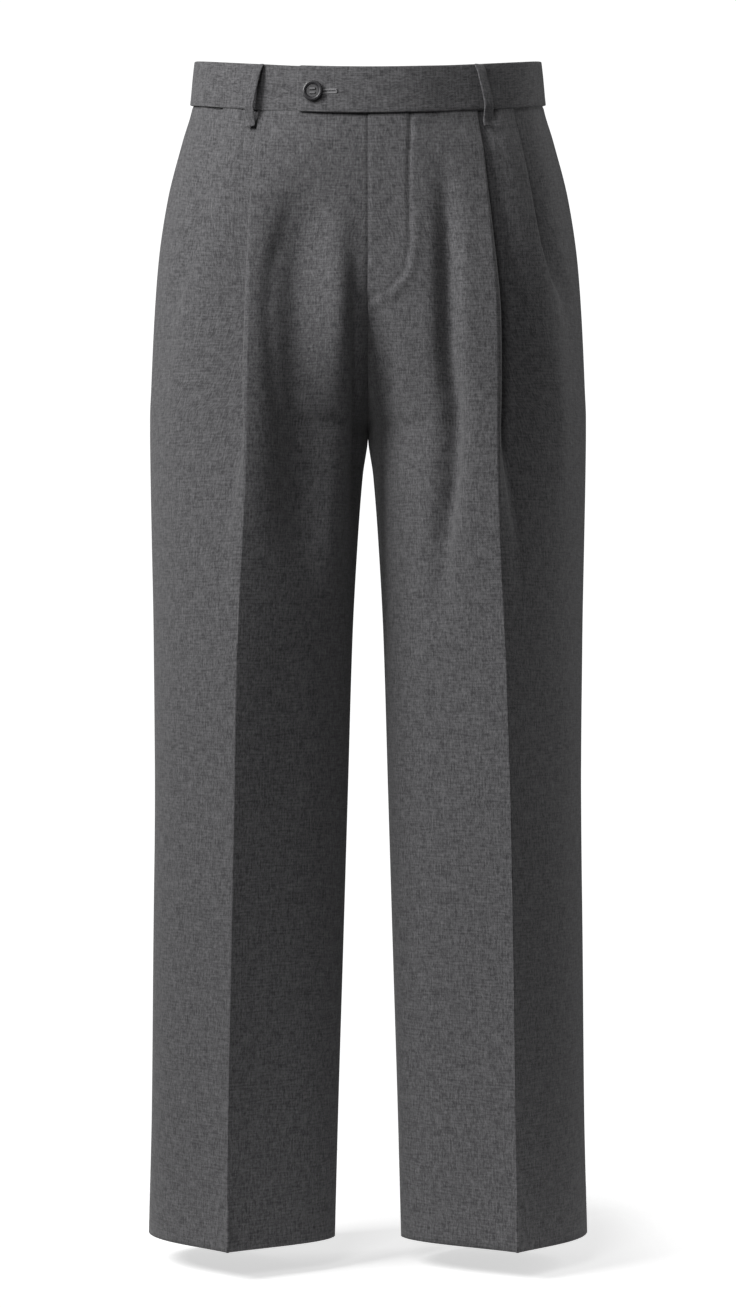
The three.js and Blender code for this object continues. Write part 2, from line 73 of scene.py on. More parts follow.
@dataclass(frozen=True)
class Cloth:
    """Sizes of the cloth, and the levels of its seams.

    Attributes:
        wall: The visible cloth's thickness.
        cad_wall: The CAD cloth's thickness.
        seam: Gap between two pieces; below 0 they overlap, so that no light comes through.
        hem_wall: Thickness of the turned-up hem.
        hem_depth: Height of the turn-up.
        band_top: Level of the waistband's top.
        band_foot: Level of the waist seam.
        crotch: Level of the fork.
        hem: Level of the hem.
        tilt_fades: How far below the waist seam the waist's tilt dies out.
        tilt: The tilt's slope and curve, as height over depth and over depth squared.
        fly_width: Where the fly's lap ends, from the centre.
        fly_bottom: Level of the lap's lower end.
        fly_lift: How far the lap stands off.
    """

    wall: float = 1.0
    cad_wall: float = 1.2
    seam: float = -0.6
    hem_wall: float = 2.4
    hem_depth: float = 40.0
    band_top: float = 26.0
    band_foot: float = -13.0
    crotch: float = -303.0
    hem: float = -1008.0
    tilt_fades: float = 317.0
    tilt: tuple[float, float] = (0.1625, 0.000584)
    fly_width: float = 37.0
    fly_bottom: float = -180.0
    fly_lift: float = 1.6


CLOTH = Cloth()


def smooth(v: Array) -> Array:
    """Eases v from 0 to 1 with level ends.

    Args:
        v: Any values; those outside 0 to 1 are held.

    Returns:
        The eased values.
    """
    t = np.clip(v, 0, 1)
    return t * t * (3 - 2 * t)


class ColumnTable:
    """A short table whose named columns are read as smooth functions of the first, the level."""

    def __init__(self, columns: list[str], rows: list[tuple[float, ...]]) -> None:
        """Works out each column's slopes so that no curve overshoots its rows.

        Args:
            columns: Names of the columns after the level.
            rows: One row per level, from the top down.
        """
        data = np.array(rows, float)[::-1]
        self.columns, self.level, self.value = columns, data[:, 0], data[:, 1:]
        step = np.diff(self.value, axis=0) / np.diff(self.level)[:, None]
        a, b = step[:-1], step[1:]
        mean = np.where(a * b > 0, 2 * a * b / np.where(a + b == 0, 1, a + b), 0)
        self.slope = np.vstack([step[:1], mean, step[-1:]])

    def __call__(self, level: Array) -> dict[str, Array]:
        """Reads every column.

        Args:
            level: Levels, in any shape.

        Returns:
            Each column's values, in that shape, by name.
        """
        q = np.clip(level, self.level[0], self.level[-1])
        k = np.clip(np.searchsorted(self.level, q) - 1, 0, len(self.level) - 2)
        h = self.level[k + 1] - self.level[k]
        t = (q - self.level[k]) / h
        weights = (
            (1 + 2 * t) * (1 - t) ** 2,
            t * t * (3 - 2 * t),
            h * t * (1 - t) ** 2,
            -h * t * t * (1 - t),
        )
        out = {}
        for c, name in enumerate(self.columns):
            terms = (self.value[k, c], self.value[k + 1, c], self.slope[k, c], self.slope[k + 1, c])
            out[name] = sum(w * v for w, v in zip(weights, terms))
        return out


# Half sections by level: side seam, pressed crease, centre front (or
# inseam) and the headings of the cloth as it leaves the centre, reaches the crease and leaves it.
FRONT = ColumnTable(
    ["side_x", "side_y", "crease_left", "crease_right", "crease_y", "inner_x", "inner_y",
     "inner_deg", "inner_pull", "arrive_deg", "leave_deg"],
    [
        (26, 151, 0, 90, 91, -91.5, 0, -116, 0, 32, 29, 29),
        (-13, 155, 0, 92, 92.5, -95, 0, -118, 0, 32, 30, 30),
        (-45, 164, 0, 96.5, 94.6, -108, 0, -121, 0, 33, 22, 30),
        (-96, 177, 1, 101, 98, -119, 0, -123, 0, 34, 12, 28),
        (-149, 185, 2, 105, 99.4, -126, 0, -122, -6, 34, 6, 27),
        (-190, 188.3, 3, 107.5, 99.8, -129, 0, -115, -28, 34, 2, 26),
        (-230, 190.5, 4, 108.3, 101, -130, 0, -98, -52, 36, 0, 25),
        (-265, 192, 5, 108.6, 101.8, -129.5, 0, -70, -70, 44, -2, 25),
        (-290, 193, 5, 108.8, 102, -129, 0, -36, -82, 60, -4, 25),
        (-303, 193, 5, 108.8, 102.1, -128.5, 0, 2, -90, 78, -6, 26),
        (-340, 192.6, 5, 109.3, 103, -127, 4.6, -2, -90, 74, -10, 28),
        (-400, 191.4, 4, 111.2, 106, -124, 9.2, -8, -90, 66, -17, 32),
        (-480, 189.8, 3, 115.3, 110, -120, 13.5, -12, -90, 56, -24, 36),
        (-620, 188.6, 1, 120.6, 113.2, -113, 17.7, -16, -90, 46, -30, 41),
        (-760, 190, 1, 123.5, 116.2, -107.5, 21.9, -19, -90, 40, -33, 44),
        (-900, 191.3, 1, 125.5, 119, -104, 26.2, -21, -90, 36, -35, 46),
        (-1008, 194, 2, 128, 120.3, -102, 29, -22, -90, 33, -36, 48),
    ],
)
BACK = ColumnTable(
    ["crease_x", "crease_y", "arrive_deg", "leave_deg", "centre_y", "centre_deg", "centre_pull"],
    [
        (26, 76, 99, 153, 153, 115, 180, 30),
        (-13, 78, 101, 153, 153, 117, 180, 30),
        (-60, 86, 116, 157, 157, 121, 181, 30),
        (-120, 92, 128, 160, 162, 124, 184, 32),
        (-180, 96, 133, 162, 168, 119, 200, 34),
        (-220, 98, 132, 163, 172, 106, 222, 36),
        (-250, 99, 128, 163, 176, 87, 238, 42),
        (-275, 101, 123, 163, 180, 62, 250, 52),
        (-292, 102, 119.5, 163, 183, 34, 262, 62),
        (-303, 103, 117, 162, 186, 2, 270, 72),
        (-340, 105, 110, 160, 192, -2, 270, 68),
        (-400, 107, 101, 156, 199, -8, 270, 60),
        (-480, 109, 93, 151, 206, -12, 270, 50),
        (-620, 112, 85, 146, 212, -16, 270, 42),
        (-760, 114, 81, 142, 216, -19, 270, 38),
        (-900, 116, 79, 140, 218, -21, 270, 36),
        (-1008, 118, 78, 138, 220, -22, 270, 34),
    ],
)

# The pleats. tuck: cloth hidden under the fold; open: 0 folded flat, 1 a soft wave reach mm wide;
# rise and drop: the fold's edge above, and the cloth beyond it below, the body line.
MAIN_PLEAT = ColumnTable(
    ["tuck", "open", "reach", "rise", "drop"],
    [
        (-13, 17, 0, 14, 1.6, 1.6),
        (-60, 16, 0, 14, 2, 3),
        (-110, 14, 0, 14, 3, 6),
        (-160, 11, 0, 16, 4, 9.5),
        (-210, 8, 0.08, 18, 4.5, 11.5),
        (-255, 5, 0.2, 20, 4.2, 11.5),
        (-300, 2.5, 0.4, 22, 3.2, 9.5),
        (-345, 1, 0.65, 24, 2, 6),
        (-400, 0, 0.9, 26, 0.8, 2.6),
        (-470, 0, 1, 20, 0, 0.4),
        (-560, 0, 1, 14, 0, 0),
        (-1008, 0, 1, 14, 0, 0),
    ],
)
SECOND_PLEAT = ColumnTable(
    ["at", "tuck", "open", "reach", "rise", "drop"],
    [
        (-13, 0.34, 11, 0, 10, 1.6, 1.6),
        (-50, 0.33, 9, 0, 10, 2.2, 3),
        (-90, 0.33, 7, 0, 12, 2.6, 4.5),
        (-125, 0.34, 4, 0.2, 13, 2.6, 5),
        (-155, 0.38, 2, 0.5, 16, 2, 4.5),
        (-190, 0.44, 0, 0.9, 22, 1, 3),
        (-240, 0.5, 0, 1, 22, 0, 0.8),
        (-300, 0.54, 0, 1, 20, 0, 0),
        (-1008, 0.56, 0, 1, 16, 0, 0),
    ],
)


@dataclass(frozen=True)
class Fold:
    """A soft fold: a trough (or, with depth below 0, a ridge) along a path of x, z points.

    Attributes:
        side: The leg it is on.
        half: The panel it is on.
        depth: How deep it is.
        width: Half its width.
        path: Points of its line, seen from the front.
        ease: Share of the line over which it eases out at each end.
    """

    side: Side
    half: Half
    depth: float
    width: float
    path: tuple[tuple[float, float], ...]
    ease: float = 0.25

    def push(self, x: Array, z: Array) -> Array:
        """How far the fold moves points: a bell across its line, easing out at both ends.

        Args:
            x: Across, positive outwards.
            z: Height.

        Returns:
            Movement along the outward normal.
        """
        best, along = np.full(x.shape, np.inf), np.zeros(x.shape)
        legs = len(self.path) - 1
        for k in range(legs):
            (ax, az), (bx, bz) = self.path[k], self.path[k + 1]
            t = np.clip(((x - ax) * (bx - ax) + (z - az) * (bz - az))
                        / ((bx - ax) ** 2 + (bz - az) ** 2), 0, 1)
            d = np.hypot(x - ax - (bx - ax) * t, z - az - (bz - az) * t)
            along = np.where(d < best, (k + t) / legs, along)
            best = np.minimum(d, best)
        ends = smooth(along / self.ease) * smooth((1 - along) / self.ease)
        return -self.depth * ends * np.exp(-((best / self.width) ** 2))


L, R = Side.LEFT, Side.RIGHT
F, B = Half.FRONT, Half.BACK
J_STITCH = ((36, 90), (36, 20), (36, -45), (34.5, -95), (35.6, -150), (32, -174), (16, -192),
            (1.5, -198), (-14, -203), (-30, -208))
FOLDS = (
    Fold(L, F, 12, 9, ((64, -60), (67, -145), (68, -245), (73, -296), (70, -345), (63, -400),
                       (60, -500))),
    Fold(R, F, 13, 22, ((54, -80), (60, -160), (60, -262), (57, -340), (54, -450))),
    Fold(R, F, -6.5, 11, ((26, -90), (24, -200), (25, -290), (32, -390), (38, -500))),
    Fold(R, F, 3.5, 4.5, ((11, -150), (12, -250), (12, -330), (12, -420))),
    Fold(L, F, 1.8, 2.0, J_STITCH),
    Fold(L, F, -1.9, 4.5, tuple((x + 4.5, z - 2.5) for x, z in J_STITCH[3:])),
    Fold(R, F, 1.8, 6, ((58, -85), (82, -175), (85, -210), (80, -270), (70, -330))),
    Fold(L, F, 1.6, 7, ((17, -225), (20, -290))),
    Fold(L, F, -1.2, 6, ((160, -215), (169, -300), (166, -365))),
    Fold(R, F, -1.0, 7, ((165, -230), (168, -340))),
    Fold(L, F, 1.6, 20, ((70, -480), (64, -560), (78, -640))),
    Fold(R, F, 1.4, 20, ((78, -470), (66, -560), (70, -650))),
    Fold(L, F, 1.2, 22, ((150, -520), (156, -640))),
    Fold(R, F, 1.3, 22, ((148, -560), (152, -700))),
    Fold(L, F, 1.0, 24, ((84, -760), (76, -880))),
    Fold(R, F, 1.0, 24, ((76, -800), (84, -900))),
    Fold(L, B, 4, 16, ((60, -285), (95, -330), (130, -350))),
    Fold(R, B, 4, 16, ((55, -290), (100, -325), (135, -335))),
    Fold(L, B, 2.4, 15, ((50, -330), (80, -385), (110, -405))),
    Fold(R, B, 2.6, 15, ((45, -335), (85, -380), (112, -415))),
    Fold(L, B, 1.6, 20, ((140, -560), (120, -600), (80, -610))),
    Fold(R, B, 1.8, 19, ((136, -575), (110, -620), (70, -615))),
    Fold(L, B, 1.4, 24, ((100, -760), (110, -880))),
    Fold(R, B, 1.3, 24, ((120, -780), (104, -900))),
)


def soft_folds(x: Array, z: Array, side: Side, half: Half) -> Array:
    """Adds up the folds of one panel.

    Args:
        x: Across, positive outwards.
        z: Height.
        side: The leg.
        half: The panel.

    Returns:
        Movement along the outward normal.
    """
    mine = [f.push(x, z) for f in FOLDS if f.side is side and f.half is half]
    return sum(mine, np.zeros(np.broadcast(x, z).shape))


def height(y: Array, level: Array) -> Array:
    """Height of a body point: the waist slopes down to the front, and the slope dies out below it.

    Args:
        y: Depth.
        level: Level, the height at the side of the body.

    Returns:
        Height.
    """
    fade = 1 - smooth((CLOTH.band_foot - level) / CLOTH.tilt_fades)
    return level + (CLOTH.tilt[0] * y - CLOTH.tilt[1] * y * y) * fade


@dataclass
class Arc:
    """A cubic arc for each level, from its four control points.

    Attributes:
        x: Control points' x, four arrays.
        y: Control points' y, four arrays.
    """

    x: list[Array]
    y: list[Array]

    @staticmethod
    def between(
        p: tuple[Array, Array], from_deg: Array, from_pull: Array | None,
        q: tuple[Array, Array], to_deg: Array, to_pull: Array | None,
    ) -> Arc:
        """An arc with given headings at its ends.

        Args:
            p: First point's x and y.
            from_deg: Heading at p.
            from_pull: How far the arc holds it; a third of the chord where None.
            q: Last point's x and y.
            to_deg: Heading at q.
            to_pull: As from_pull.

        Returns:
            The arc.
        """
        chord = np.hypot(q[0] - p[0], q[1] - p[1])
        a, b = np.radians(from_deg), np.radians(to_deg)
        h = chord / 3 if from_pull is None else from_pull
        k = chord / 3 if to_pull is None else to_pull
        return Arc(
            [p[0], p[0] + np.cos(a) * h, q[0] - np.cos(b) * k, q[0]],
            [p[1], p[1] + np.sin(a) * h, q[1] - np.sin(b) * k, q[1]],
        )

    @property
    def chord(self) -> Array:
        """Distance between the ends, for each level."""
        return np.hypot(self.x[3] - self.x[0], self.y[3] - self.y[0])

    def at(self, u: Array) -> tuple[Array, Array, Array, Array]:
        """Points of the arc: the cubic with these four control points, and its outward normal.

        Args:
            u: 0 to 1 along the arc.

        Returns:
            x, y and the normal's x and y.
        """
        v = 1 - u

        def point(c: list[Array]) -> Array:
            """The cubic's value from one coordinate of its control points."""
            return c[0] * v**3 + 3 * c[1] * u * v * v + 3 * c[2] * u * u * v + c[3] * u**3

        def slope(c: list[Array]) -> Array:
            """A third of its slope."""
            return (c[1] - c[0]) * v * v + 2 * (c[2] - c[1]) * u * v + (c[3] - c[2]) * u * u

        dx, dy = slope(self.x), slope(self.y)
        length = np.hypot(dx, dy)
        return point(self.x), point(self.y), dy / length, -dx / length


def section(level: Array, side: Side | Array) -> list[Arc]:
    """The four arcs of a half section: centre front, crease, side seam, back crease, centre back.

    Args:
        level: Levels.
        side: The leg, or an array of 1 and -1 like the levels.

    Returns:
        The arcs, counterclockwise seen from above.
    """
    f, b = FRONT(level), BACK(level)
    left = (side.value if isinstance(side, Side) else side) > 0
    half_seam = CLOTH.seam / 2
    start = (f["inner_x"] + half_seam * abs(np.sin(np.radians(f["inner_deg"]))), f["inner_y"])
    crease = (np.where(left, f["crease_left"], f["crease_right"]), f["crease_y"])
    seam = (f["side_x"], f["side_y"])
    back = (b["crease_x"], b["crease_y"])
    end = (
        f["inner_x"] + half_seam * abs(np.sin(np.radians(b["centre_deg"]))),
        np.where(level <= CLOTH.crotch, f["inner_y"], b["centre_y"]),
    )
    right_angle = np.full_like(f["side_x"], 90.0)
    side_pull = 0.4
    front_pull = np.hypot(seam[0] - crease[0], seam[1] - crease[1]) * side_pull
    back_pull = np.hypot(seam[0] - back[0], seam[1] - back[1]) * side_pull
    return [
        Arc.between(start, f["inner_deg"], f["inner_pull"], crease, f["arrive_deg"], None),
        Arc.between(crease, f["leave_deg"], None, seam, right_angle, front_pull),
        Arc.between(seam, right_angle, back_pull, back, b["arrive_deg"], None),
        Arc.between(back, b["leave_deg"], None, end, b["centre_deg"], b["centre_pull"]),
    ]


def off_body(s: Array, level: Array, off: Array, sideways: Array) -> Array:
    """Points off the body line: along its normal by off, and along its tangent by sideways.

    Args:
        s: 0 to 4 from centre front to centre back, below 0 on the wearer's right.
        level: Levels.
        off: Distance out.
        sideways: Distance counterclockwise.

    Returns:
        Points in millimetres, with a last axis of 3.
    """
    s, level, off, sideways = np.broadcast_arrays(*np.atleast_1d(s, level, off, sideways))
    t = np.minimum(abs(s), LAST_ARC)
    mirror = np.where(s < 0, -1.0, 1.0)
    part, u = np.floor(t).astype(int), t % 1
    found = np.stack([np.stack(a.at(u)) for a in section(level.astype(float), mirror)])
    x, y, nx, ny = np.take_along_axis(found, part[None, None], 0)[0]
    x, nx = x * mirror, nx * mirror
    return np.stack([
        x + nx * off - ny * sideways, y + ny * off + nx * sideways, height(y, level)], -1)


def make_object(
    name: str, points: Array, faces: Array, uv: Array | None,
) -> Object:
    """Makes a smooth-shaded mesh object at the origin.

    Args:
        name: Its name.
        points: Vertices.
        faces: Quads or triangles, as vertex numbers.
        uv: A place on the flat cloth for each vertex, in metres, or None.

    Returns:
        The object, linked to the scene.
    """
    mesh = bpy.data.meshes.new(name)
    size = faces.shape[1]
    mesh.vertices.add(len(points))
    mesh.vertices.foreach_set("co", (points * MM).ravel())
    mesh.loops.add(faces.size)
    mesh.loops.foreach_set("vertex_index", faces.ravel().astype(np.int32))
    mesh.polygons.add(len(faces))
    mesh.polygons.foreach_set("loop_start", np.arange(0, faces.size, size, dtype=np.int32))
    mesh.polygons.foreach_set("use_smooth", np.ones(len(faces), bool))
    if uv is not None:
        layer = mesh.uv_layers.new(name="cloth")
        layer.data.foreach_set("uv", uv[faces.ravel()].ravel())
    mesh.update(calc_edges=True)
    mesh.validate()
    obj = bpy.data.objects.new(name, mesh)
    bpy.context.scene.collection.objects.link(obj)
    return obj


def grid_faces(rows: int, cols: int, first: int = 0) -> Array:
    """Quads of a grid whose rows run down and columns run counterclockwise, facing outwards.

    Args:
        rows: How many rows of points it has.
        cols: How many columns.
        first: Number of its first point.

    Returns:
        Four vertex numbers for each quad.
    """
    r, c = np.meshgrid(np.arange(rows - 1), np.arange(cols - 1), indexing="ij")
    a = (first + r * cols + c).ravel()
    return np.stack([a, a + cols, a + cols + 1, a + 1], 1)


def shell(points: Array, out: Array, inward: Array) -> tuple[Array, Array]:
    """A closed shell either side of a grid: each face is the grid moved along its own normal.

    Args:
        points: The middle surface, rows by columns by 3.
        out: Wall outside it, for each row.
        inward: Wall inside it, for each row.

    Returns:
        Vertices and quads.
    """
    rows, cols = points.shape[:2]
    normal = np.cross(np.gradient(points, axis=0), np.gradient(points, axis=1))
    normal /= np.linalg.norm(normal, axis=-1, keepdims=True)
    vertices = np.concatenate([
        (points + normal * out[:, None, None]).reshape(-1, 3),
        (points - normal * inward[:, None, None]).reshape(-1, 3)])
    outer = grid_faces(rows, cols)
    inner = grid_faces(rows, cols, rows * cols)[:, ::-1]
    index = np.arange(rows * cols).reshape(rows, cols)
    loop = np.concatenate([index[0, :-1], index[:-1, -1], index[-1, :0:-1], index[:0:-1, 0]])
    after = np.roll(loop, -1)
    rim = np.stack([loop, after, after + rows * cols, loop + rows * cols], 1)
    return vertices, np.concatenate([outer, inner, rim])


def tube(rings: Array) -> tuple[Array, Array]:
    """A closed bar through equal rings, its ends closed on their middle points.

    Args:
        rings: Rings by points by 3, each ring clockwise about the way along.

    Returns:
        Vertices and triangles.
    """
    count, n = rings.shape[:2]
    r, k = np.meshgrid(np.arange(count - 1), np.arange(n), indexing="ij")
    a, b = (r * n + k).ravel(), (r * n + (k + 1) % n).ravel()
    sides = np.concatenate([np.stack([a, b + n, b], 1), np.stack([a, a + n, b + n], 1)])
    ring = np.arange(n)
    last = (count - 1) * n
    caps = [np.stack([np.full(n, count * n), ring, (ring + 1) % n], 1),
            np.stack([np.full(n, count * n + 1), last + (ring + 1) % n, last + ring], 1)]
    middles = np.stack([rings[0].mean(0), rings[-1].mean(0)])
    return np.concatenate([rings.reshape(-1, 3), middles]), np.concatenate([sides, *caps])


def surface_area(obj: Object) -> float:
    """Half the closed surface's area, which is the cloth's, in square metres."""
    return sum(p.area for p in obj.data.polygons) / 2


class Value:
    """A shader value on which Python's operators add Math nodes."""

    def __init__(self, shader: Shader, socket: Socket) -> None:
        """Wraps a socket of a shader."""
        self.shader, self.socket = shader, socket

    def _math(self, operation: str, *values: Value | float) -> Value:
        """Adds one Math node."""
        return self.shader.node("ShaderNodeMath", {"operation": operation}, dict(enumerate(values)))[0]

    def __add__(self, other: Value | float) -> Value:
        """Sum."""
        return self._math("ADD", self, other)

    __radd__ = __add__

    def __mul__(self, other: Value | float) -> Value:
        """Product."""
        return self._math("MULTIPLY", self, other)

    __rmul__ = __mul__

    def __sub__(self, other: Value | float) -> Value:
        """Difference."""
        return self._math("SUBTRACT", self, other)

    def __rsub__(self, other: Value | float) -> Value:
        """Difference, the other way round."""
        return self._math("SUBTRACT", other, self)

    def sine(self) -> Value:
        """Sine, of radians."""
        return self._math("SINE", self)


class Shader:
    """A material's node tree, built one call per node."""

    def __init__(self, name: str) -> None:
        """Makes the material with an empty tree and its output."""
        self.material = bpy.data.materials.new(name)
        self.material.use_nodes = True
        self.tree = self.material.node_tree
        self.tree.nodes.clear()

    def node(self, kind: str, settings: dict[str, object] | None = None,
             inputs: dict[str | int, object] | None = None) -> list[Value]:
        """Adds a node.

        Args:
            kind: Its Blender type.
            settings: Its properties.
            inputs: Values or links for its inputs, by name or number.

        Returns:
            Its outputs.
        """
        made = self.tree.nodes.new(kind)
        for key, value in (settings or {}).items():
            setattr(made, key, value)
        for key, value in (inputs or {}).items():
            if isinstance(value, Value):
                self.tree.links.new(value.socket, made.inputs[key])
            else:
                made.inputs[key].default_value = value
        return [Value(self, out) for out in made.outputs if out.enabled]

    def finish(self, surface: Value) -> Material:
        """Joins a surface to the output.

        Args:
            surface: The surface's shader.

        Returns:
            The material.
        """
        out = self.tree.nodes.new("ShaderNodeOutputMaterial")
        self.tree.links.new(surface.socket, out.inputs["Surface"])
        return self.material


@dataclass(frozen=True)
class Flannel:
    """Melange wool flannel: two greys of fibre mixed at random over a faint twill, with a soft nap.

    Attributes:
        dark: Colour of the dark fibres.
        light: Colour of the light fibres.
        fibre: Fibre flecks to the metre across the cloth.
        stretch: How much longer a fleck is along the cloth.
        slub: How much longer a thick place in a yarn is along it, as a fraction.
        twill: Twill lines to the metre.
        sheen: Weight of the nap's sheen.
        blotch: Cloudy patches to the metre.
        weights: How strongly flecks, yarns, patches and twill change the mix of greys.
        balance: The mix where they cancel out.
        relief: How much the twill adds to the flecks' height.
    """

    dark: Colour = (0.052, 0.051, 0.054, 1)
    light: Colour = (0.176, 0.174, 0.180, 1)
    fibre: float = 700.0
    stretch: float = 0.45
    slub: float = 0.12
    twill: float = 620.0
    sheen: float = 0.22
    blotch: float = 190.0
    weights: tuple[float, float, float, float] = (2.0, 1.1, 0.7, 0.05)
    balance: float = 0.42
    relief: float = 0.22

    def material(self) -> Material:
        """Builds the finish on the cloth's own UV map, so that the weave follows the piece.

        Returns:
            The material.
        """
        s = Shader("flannel")
        uv = s.node("ShaderNodeUVMap", {"uv_map": "cloth"})[0]
        along = s.node("ShaderNodeMapping", {}, {"Vector": uv, "Scale": (1, self.stretch, 1)})[0]
        fleck = s.node("ShaderNodeTexNoise", {}, {
            "Vector": along, "Scale": self.fibre, "Detail": 3.0, "Roughness": 0.7})[0]
        yarns = []
        for scale in ((1, self.slub, 1), (self.slub, 1, 1)):
            run = s.node("ShaderNodeMapping", {}, {"Vector": uv, "Scale": scale})[0]
            yarns.append(s.node("ShaderNodeTexNoise", {}, {
                "Vector": run, "Scale": self.fibre, "Detail": 2.0})[0])
        blotch = s.node("ShaderNodeTexNoise", {}, {
            "Vector": along, "Scale": self.blotch, "Detail": 4.0})[0]
        split = s.node("ShaderNodeSeparateXYZ", {}, {"Vector": uv})
        twill = ((split[0] + split[1]) * (self.twill * 2 * math.pi)).sine()
        of_fleck, of_yarn, of_blotch, of_twill = self.weights
        mixed = ((fleck - 0.5) * of_fleck + (yarns[0] + yarns[1] - 1) * of_yarn
                 + (blotch - 0.5) * of_blotch + twill * of_twill + self.balance)
        colour = s.node("ShaderNodeMix", {"data_type": "RGBA"}, {
            "Factor": mixed, "A": self.dark, "B": self.light})[0]
        bump = s.node("ShaderNodeBump", {}, {
            "Strength": 0.35, "Distance": 0.0005, "Height": fleck + twill * self.relief})[0]
        surface = s.node("ShaderNodeBsdfPrincipled", {}, {
            "Base Color": colour, "Roughness": 0.92, "Normal": bump, "Specular IOR Level": 0.18,
            "Sheen Weight": self.sheen, "Sheen Roughness": 0.55})[0]
        return s.finish(surface)


@dataclass(frozen=True)
class Plain:
    """A finish of one colour.

    Attributes:
        name: The material's name.
        colour: Its colour.
        roughness: Its roughness.
        coat: Weight of a clear coat.
    """

    name: str
    colour: Colour
    roughness: float
    coat: float = 0.0

    def material(self) -> Material:
        """Builds the finish.

        Returns:
            The material.
        """
        s = Shader(self.name)
        surface = s.node("ShaderNodeBsdfPrincipled", {}, {
            "Base Color": self.colour, "Roughness": self.roughness, "Coat Weight": self.coat})[0]
        return s.finish(surface)


